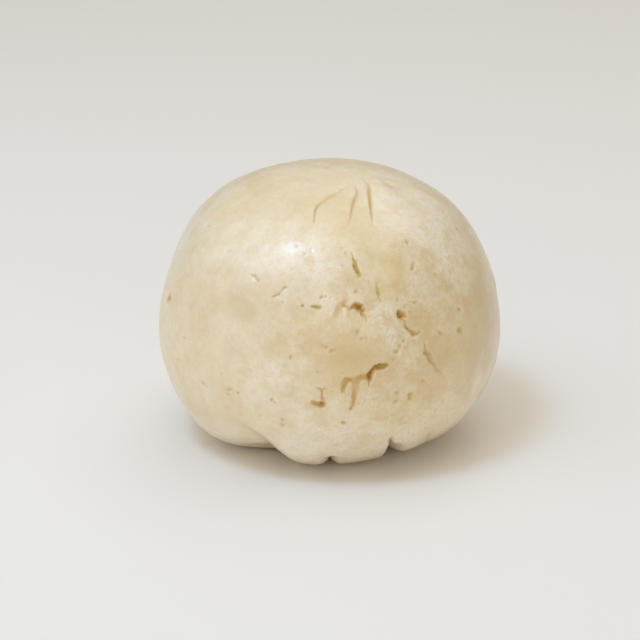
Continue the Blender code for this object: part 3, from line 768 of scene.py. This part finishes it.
def back_tears():
    """Short bent tears on the sides and the back, at seeded heights, headings and sizes."""
    draw = np.random.default_rng(BACK_TEAR_SEED)
    tears = []
    for around in spread_round(draw, BACK_FROM, BACK_TO, BACK_TEAR_COUNT):
        up = draw.uniform(*BACK_TEAR_UP)
        half_length = draw.uniform(*BACK_TEAR_LENGTH) / 2
        heading = draw.uniform(0, 180)
        width = draw.uniform(*BACK_TEAR_WIDTH)
        depth = draw.uniform(*BACK_TEAR_DEPTH)
        path = [(around, up)]
        for end, turned in ((0, heading + 180), (2, heading + BACK_TEAR_BEND)):
            step_around = half_length * np.cos(np.radians(turned)) / np.cos(np.radians(up))
            step_up = half_length * np.sin(np.radians(turned))
            path.insert(end, (around + step_around, up + step_up))
        widths = tuple(share * width for share in BACK_TEAR_WIDTH_SHARES)
        depths = tuple(share * depth for share in BACK_TEAR_DEPTH_SHARES)
        tears.append(Mark(tuple(path), widths, depths))
    return tuple(tears)


def pin_pits():
    """Pin-sized pits as (around, up, half width, depth): placed in front, scattered elsewhere."""
    placed = np.array(PIN_PITS) * (1, 1, MM, MM)
    draw = np.random.default_rng(SCATTER_SEED)
    ranges = (SCATTER_AROUND, SCATTER_UP, SCATTER_WIDTH, SCATTER_DEPTH)
    scattered = np.stack([draw.uniform(*span, size=SCATTER_COUNT) for span in ranges], axis=1)
    return np.vstack([placed, scattered])


def folded(directions, reach, folds):
    """Depth of the folds, and how near the line of one is, from 0 to 1, which is painted shade
    along the groove.

    The depth is a sharp groove and a bell-shaped valley, fading at both ends. A flap adds a
    step: the left side stands up and the right side is tucked down, both dying away.
    """
    depth = np.zeros(len(directions))
    line = np.zeros(len(directions))
    for fold in folds:
        beside, count = beside_path(directions, fold.path)
        beside = beside * reach
        along = count / (len(fold.path) - 1)
        rising = np.sin(np.pi / 2 * np.clip(along / FOLD_RISE_SHARE, 0, 1)) ** FOLD_FADE_POWER
        falling = np.sin(np.pi / 2 * np.clip((1 - along) / FOLD_FALL_SHARE, 0, 1))
        fade = rising * falling
        groove = fold.depth * np.exp(-np.abs(beside) / GROOVE_WIDTH)
        valley = fold.valley * np.exp(-(beside / fold.valley_width) ** 2)
        died = np.exp(-np.abs(beside) / np.where(beside > 0, FLAP_REACH, TUCK_REACH))
        flap = -fold.flap * np.tanh(beside / FLAP_EDGE) * died
        depth += fade * (groove + valley + flap)
        # Painted shade along the groove, stronger on the deeper folds.
        strength = min(1, fold.depth / MM)
        line = np.maximum(line, strength * fade * np.exp(-(beside / FOLD_SHADE_WIDTH) ** 2))
    return depth, line


def marked(directions, reach, marks):
    """Depth of creases, tears and pits, the lip round them and the halo that soaks out of them.

    The depth is that of the deepest mark at each place. Across a torn one it is
    (1 - (distance / half width)^2) to a power below 1, so its walls are steep, and across a
    crease it is a bell curve. The lip is a low ridge just outside the edge, and the halo
    falls away from the edge as an exponential.
    """
    depth = np.zeros(len(directions))
    lip = np.zeros(len(directions))
    halo = np.zeros(len(directions))
    for mark in marks:
        here = near_path(directions, mark.path)
        beside, count = beside_path(directions[here], mark.path)
        beside = np.abs(beside) * reach[here]
        knots = np.arange(len(mark.path))
        width = np.interp(count, knots, mark.widths)
        deepest = np.interp(count, knots, mark.depths)
        if mark.torn:
            share = np.clip(1 - (beside / width) ** 2, 0, 1) ** TEAR_WALL_POWER
            ridge = np.exp(-((beside - width) / LIP_WIDTH) ** 2)
            lip[here] = np.maximum(lip[here], LIP_RISE * deepest * ridge * (share == 0))
            outside = np.maximum(beside - width, 0)
            soaked = np.minimum(deepest / MM, 1) * np.exp(-outside / HALO_REACH)
            halo[here] = np.maximum(halo[here], soaked)
        else:
            share = np.exp(-(beside / (CREASE_SHARE * width)) ** 2)
        depth[here] = np.maximum(depth[here], deepest * share)
    return depth, lip, halo


def pitted(directions, reach, pits):
    """Depth of pin-sized pits: a bell curve round each."""
    depth = np.zeros(len(directions))
    for around, up, width, deepest in pits:
        apart = np.linalg.norm(directions - direction(around, up), axis=1) * reach
        depth = np.maximum(depth, deepest * np.exp(-(apart / width) ** 2))
    return depth


def ragged(directions, reach):
    """Directions shifted a little by short waves, which gives the torn edges their wander."""
    places = directions * reach[:, None]
    moved = places.copy()
    for waves in TEAR_WANDERS:
        moved += np.stack([swell_by(places, waves, axis) for axis in range(3)], axis=1)
    return moved / np.linalg.norm(moved, axis=1)[:, None]


def drawn_in(directions):
    """Directions moved towards tears and creases, so that the grid is finest in them.

    Each moves towards the nearest point of the nearest one, by DRAW_SHARE of the way times a
    bell curve of the distance, which keeps their order.
    """
    reach = round_form(directions)
    towards = ragged(directions, reach)
    nearest = np.full(len(directions), np.inf)
    moves = np.zeros_like(directions)
    for mark in TEARS + CREASES + back_tears():
        here = near_path(towards, mark.path)
        apart, way = nearest_on_path(towards[here], mark.path)
        closer = apart < nearest[here]
        chosen = here[closer]
        nearest[chosen] = apart[closer]
        moves[chosen] = way[closer]
    pull = DRAW_SHARE * np.exp(-(nearest * reach / DRAW_WIDTH) ** 2)
    moved = directions + pull[:, None] * moves
    return moved / np.linalg.norm(moved, axis=1)[:, None]


def skin(directions):
    """Points of the ball's skin in the given directions from its heart, and its tints there.

    Its distance from the heart is the round form's, with the swells and the waves, settled on
    the foot, plus the pads and the lips, less the folds, the creases, the wrinkles and the
    deeper of the tears and the pits. None of it goes below the ground.
    """
    reach = round_form(directions) + swollen(directions, SWELLS + back_swells())
    places = directions * reach[:, None]
    for waves in UNEVENNESS:
        reach = reach + swell_by(places, waves)
    reach = settle_on_foot(directions, reach)
    torn_towards = ragged(directions, reach)
    fold_depth, fold_shade = folded(directions, reach, FRONT_FOLDS + back_folds())
    crease_depth, _, _ = marked(directions, reach, CREASES)
    wrinkle_depth, _, _ = marked(directions, reach, WRINKLES)
    torn_depth, lip, halo = marked(torn_towards, reach, TEARS + back_tears())
    torn_depth = torn_depth * (1 + swell_by(places, TEAR_FLOOR))
    pit_depth = pitted(torn_towards, reach, pin_pits())
    reach = reach + swollen(directions, PADS) + lip
    reach = reach - fold_depth - crease_depth - wrinkle_depth - np.maximum(torn_depth, pit_depth)
    ground = ground_reach(directions)
    resting = reach >= ground
    points = directions * np.minimum(reach, ground)[:, None] + (0, 0, HEART_HEIGHT)
    points[resting, 2] = 0
    heights = np.degrees(np.arcsin(directions[:, 2]))
    # Of these tints, the pale patches are partly painted light, the dull patches, the fold line
    # and the underside are painted shade, and the tears' and creases' tints are partly painted
    # shade that deepens with depth.
    tints = {
        "torn": np.maximum(torn_depth, pit_depth) / MM,
        "halo": halo,
        "crease": crease_depth / MM,
        "fold": fold_shade,
        "pale": patched(directions, PALE_AND_PAINTED_LIGHT_PATCHES),
        "stain": patched(directions, STAINS),
        "painted_shade": patched(directions, PAINTED_SHADE_PATCHES),
        "rough": patched(directions, ROUGH_PATCHES),
        "under": np.clip((UNDER_FROM - heights) / UNDER_SPAN, 0, 1),
    }
    return points, tints


def stepped(first, last, fine_from, fine_to, fine, coarse, blend):
    """Values from first to last, with fine steps between two of them that grow to coarse ones.

    The wanted step grows by a smooth step over `blend`. The number of steps up to a value is
    the sum of 1 / (wanted step), read back at whole steps.
    """
    values = np.linspace(first, last, STEP_SAMPLES)
    clear = np.clip(np.maximum(fine_from - values, values - fine_to) / blend, 0, 1)
    wanted = fine + (coarse - fine) * clear ** 2 * (3 - 2 * clear)
    counted = np.concatenate([[0], np.cumsum(np.diff(values) / wanted[1:])])
    return np.interp(np.linspace(0, counted[-1], round(counted[-1]) + 1), counted, values)


def round_grid():
    """Directions on a grid of turns and heights, closed at both poles, and their faces."""
    turns = stepped(-180, 180, **COLUMN_STEPS)[:-1]
    heights = stepped(-90, 90, **ROW_STEPS)[1:-1]
    columns, rows = len(turns), len(heights)
    around, up = np.meshgrid(turns, heights)
    directions = np.vstack([direction(around.ravel(), up.ravel()), (0, 0, -1), (0, 0, 1)])
    column = np.arange(columns)
    beside = (column + 1) % columns
    row = np.arange(rows - 1)[:, None] * columns
    next_row = row + columns
    quads = np.stack([row + column, row + beside, next_row + beside, next_row + column], axis=-1)
    top = (rows - 1) * columns
    below = np.stack([np.full(columns, rows * columns), beside, column], axis=-1)
    above = np.stack([top + column, top + beside, np.full(columns, rows * columns + 1)], axis=-1)
    return directions, quads.reshape(-1, 4).tolist() + below.tolist() + above.tolist()


def fitted(points):
    """Points drawn to the solid's own box, each axis by its own share."""
    low, high = np.array(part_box("banku"))
    least = points.min(axis=0)
    most = points.max(axis=0)
    return low + (points - least) * (high - low) / (most - least)


def ball():
    """The dressed ball: its skin as a mesh, with its tints as attributes."""
    directions, faces = round_grid()
    points, tints = skin(drawn_in(directions))
    mesh = bpy.data.meshes.new("dough_ball")
    mesh.from_pydata(fitted(points).tolist(), [], faces)
    mesh.shade_smooth()
    for name, values in tints.items():
        attribute = mesh.attributes.new(name, "FLOAT", "POINT")
        attribute.data.foreach_set("value", values.astype(np.float32))
    mesh.materials.append(moist_dough())
    piece = bpy.data.objects.new("dough_ball", mesh)
    bpy.context.scene.collection.objects.link(piece)
    return piece


class Wire:
    """A shader node's output, used in expressions as a number is: each operator adds its node."""

    def __init__(self, tree, socket=None):
        self.tree = tree
        self.socket = socket

    def node(self, kind, settings=(), sockets=(), output=0):
        """Adds a node: its settings first, then the value or the link of each socket named."""
        made = self.tree.nodes.new(kind)
        for name, value in dict(settings).items():
            setattr(made, name, value)
        for name, value in dict(sockets).items():
            if isinstance(value, Wire):
                self.tree.links.new(value.socket, made.inputs[name])
            else:
                made.inputs[name].default_value = value
        return Wire(self.tree, made.outputs[output])

    def maths(self, operation, *values):
        """Adds a Math node for an operation on values."""
        return self.node("ShaderNodeMath", {"operation": operation}, enumerate(values))

    def __add__(self, other):
        return self.maths("ADD", self, other)

    def __sub__(self, other):
        return self.maths("SUBTRACT", self, other)

    def __rsub__(self, other):
        return self.maths("SUBTRACT", other, self)

    def __mul__(self, other):
        return self.maths("MULTIPLY", self, other)

    __radd__ = __add__
    __rmul__ = __mul__

    def from_to(self, start, end):
        """A value that goes from start to end as this one goes from 0 to 1."""
        return self * (end - start) + start

    def between(self, low, high):
        """0 below low and 1 above high, with a smooth step between them."""
        sockets = {"Value": self, "From Min": low, "From Max": high}
        return self.node("ShaderNodeMapRange", {"interpolation_type": "SMOOTHSTEP"}, sockets)

    def tint(self, under, over):
        """A colour that goes from under to over as this value goes from 0 to 1."""
        settings = {"data_type": "RGBA", "clamp_factor": True}
        sockets = {MIX_FACTOR: self, MIX_UNDER: under, MIX_OVER: over}
        return self.node("ShaderNodeMix", settings, sockets, MIX_RESULT)

    def attribute(self, name):
        """A value that the mesh carries at its points."""
        return self.node("ShaderNodeAttribute", {"attribute_name": name}, output="Fac")

    def noise(self, kind):
        """Soft noise of a kind, from 0 to 1, as it comes."""
        sockets = {"Vector": self, "Scale": 1 / kind.size}
        sockets.update({"Detail": kind.detail, "Roughness": kind.roughness})
        return self.node("ShaderNodeTexNoise", (), sockets)

    def patches(self, kind):
        """Soft noise of a kind, read between its low and its high."""
        return self.noise(kind).between(kind.low, kind.high)

    def specks(self, spacing, radius, share):
        """1 in round specks of up to the radius, in that share of cells about the spacing wide."""
        sockets = {"Vector": self, "Scale": 1 / spacing}
        distance = self.node("ShaderNodeTexVoronoi", (), sockets, "Distance")
        colour = self.node("ShaderNodeTexVoronoi", (), sockets, "Color")
        chance = self.node("ShaderNodeSeparateColor", (), {"Color": colour}, "Red")
        chosen = chance.between(1 - share, 1)
        return (chosen * (radius / spacing) - distance).between(0, SPECK_EDGE * radius / spacing)


def moist_dough():
    """Cream dough, moist and faintly stained, with painted shade in its folds, under it and in
    dull patches, painted light in its wide pale patches, and amber inside its tears and ochre in
    its creases that deepen with depth, partly as painted shade.
    """
    material = bpy.data.materials.new("moist_dough")
    material.use_nodes = True
    start = Wire(material.node_tree)
    place = start.node("ShaderNodeTexCoord", output="Object")
    torn = start.attribute("torn")
    rough = start.attribute("rough")
    specks = place.specks(**SPECKS)
    pores = place.specks(**PORES)
    mottle = place.patches(MOTTLE)
    drifts = place.patches(DRIFTS)

    # Paler in random clouds and in the pale patches, which are partly painted light.
    smooth = start.attribute("pale") * PALE_AND_PAINTED_LIGHT_TINT + place.patches(CLOUDS) * CLOUD_TINT
    flecks = place.patches(FLECKS) * rough.from_to(*FLECK_TINT)
    maize = start.attribute("stain") * STAIN_TINT + place.patches(BLOTCHES) * BLOTCH_TINT
    colour = (smooth + flecks).tint(CREAM, PALE_AND_PAINTED_LIGHT)
    colour = maize.tint(colour, MAIZE)
    colour = (place.patches(BLUSHES) * BLUSH_TINT).tint(colour, BLUSH)
    # Painted shade: darker buff patches where the ball lies in shade.
    colour = (start.attribute("painted_shade") * drifts.from_to(*PAINTED_SHADE_TINT)).tint(colour, PAINTED_SHADE_BUFF)
    colour = (drifts * rough.from_to(*DRIFT_TINT)).tint(colour, OCHRE)
    colour = (mottle * rough.from_to(*MOTTLE_TINT)).tint(colour, OCHRE)
    colour = (place.patches(MEAL) * rough.from_to(*MEAL_TINT)).tint(colour, OCHRE)
    colour = (start.attribute("halo") * HALO_TINT).tint(colour, OCHRE)
    # The creases' ochre, stronger with depth: partly their own colour, partly painted shade.
    colour = (start.attribute("crease") * CREASE_TINT).tint(colour, CREASE_OCHRE)
    # Painted shade along the folds' grooves.
    colour = (start.attribute("fold") * FOLD_SHADE_TINT).tint(colour, PAINTED_SHADE_BROWN)
    # Painted shade: the underside darkened brown, which warms the shade beneath the ball.
    colour = (start.attribute("under") * UNDER_SHADE_TINT).tint(colour, PAINTED_SHADE_BROWN)
    colour = (specks * SPECK_TINT + pores * PORE_TINT).tint(colour, CREASE_OCHRE)
    # The torn dough's amber, partly painted shade that deepens with the tear's depth.
    crumbly = torn * place.patches(TORN_CRUMB).from_to(*CRUMB_SHARE)
    colour = torn.between(*TORN_OCHRE).tint(colour, CREASE_OCHRE)
    colour = crumbly.between(*TORN_AMBER).tint(colour, AMBER)
    colour = crumbly.between(*TORN_DEEP_AMBER).tint(colour, DEEP_AMBER)

    grain = place.noise(FINE_GRAIN)
    height = place.noise(FINE_LUMPS) * LUMP_HEIGHT + grain * rough.from_to(*GRAIN_HEIGHT)
    height = height - specks * SPECK_DEPTH - pores * PORE_DEPTH
    bump = start.node("ShaderNodeBump", (), {"Strength": 1.0, "Distance": MM, "Height": height})
    roughness = SKIN_ROUGHNESS + mottle * MOTTLE_ROUGHNESS + grain * GRAIN_ROUGHNESS
    roughness = roughness + torn.between(*TORN_ROUGH_DEPTHS) * TORN_ROUGHNESS

    shader = material.node_tree.nodes["Principled BSDF"]
    for name, wire in {"Base Color": colour, "Roughness": roughness, "Normal": bump}.items():
        material.node_tree.links.new(wire.socket, shader.inputs[name])
    for name, value in DOUGH_ALL_OVER.items():
        shader.inputs[name].default_value = value
    return material


def floor():
    """A plain pale floor that the ball stands on."""
    half = FLOOR_SIZE / 2
    mesh = bpy.data.meshes.new("floor")
    corners = [(-half, -half, 0), (half, -half, 0), (half, half, 0), (-half, half, 0)]
    mesh.from_pydata(corners, [], [(0, 1, 2, 3)])
    material = bpy.data.materials.new("pale_floor")
    material.use_nodes = True
    shader = material.node_tree.nodes["Principled BSDF"]
    shader.inputs["Base Color"].default_value = FLOOR_WHITE
    shader.inputs["Roughness"].default_value = FLOOR_ROUGHNESS
    mesh.materials.append(material)
    plane = bpy.data.objects.new("floor", mesh)
    bpy.context.scene.collection.objects.link(plane)


def soft_light(lamp):
    """Sets a studio light, turned to the middle of the ball."""
    light = bpy.data.lights.new(lamp.name, "AREA")
    light.size = lamp.size
    light.energy = lamp.power
    light.color = lamp.colour
    stand = bpy.data.objects.new(lamp.name, light)
    stand.location = lamp.place
    turned = (Vector(VIEW_AIM) - Vector(lamp.place)).to_track_quat("-Z", "Y")
    stand.rotation_euler = turned.to_euler()
    bpy.context.scene.collection.objects.link(stand)


def studio():
    """Sets the lights and a warm pale room round them."""
    for lamp in LAMPS:
        soft_light(lamp)
    world = bpy.data.worlds.new("pale_room")
    world.use_nodes = True
    room = world.node_tree.nodes["Background"]
    room.inputs["Color"].default_value = ROOM_COLOUR
    room.inputs["Strength"].default_value = ROOM_STRENGTH
    bpy.context.scene.world = world
    bpy.context.scene.view_settings.view_transform = "Standard"


def view():
    """The camera: level across, looking at the front from a little above."""
    lens = bpy.data.cameras.new("view")
    lens.angle = np.radians(VIEW_ANGLE)
    camera = bpy.data.objects.new("view", lens)
    away = Vector(direction(0, VIEW_UP))
    camera.location = Vector(VIEW_AIM) + away * VIEW_DISTANCE
    camera.rotation_euler = (-away).to_track_quat("-Z", "Y").to_euler()
    bpy.context.scene.collection.objects.link(camera)
    bpy.context.scene.camera = camera


def main():
    """Dresses the ball, and sets the floor, the light and the view."""
    piece = ball()
    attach(piece, "root")
    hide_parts("banku")
    floor()
    studio()
    view()


main()
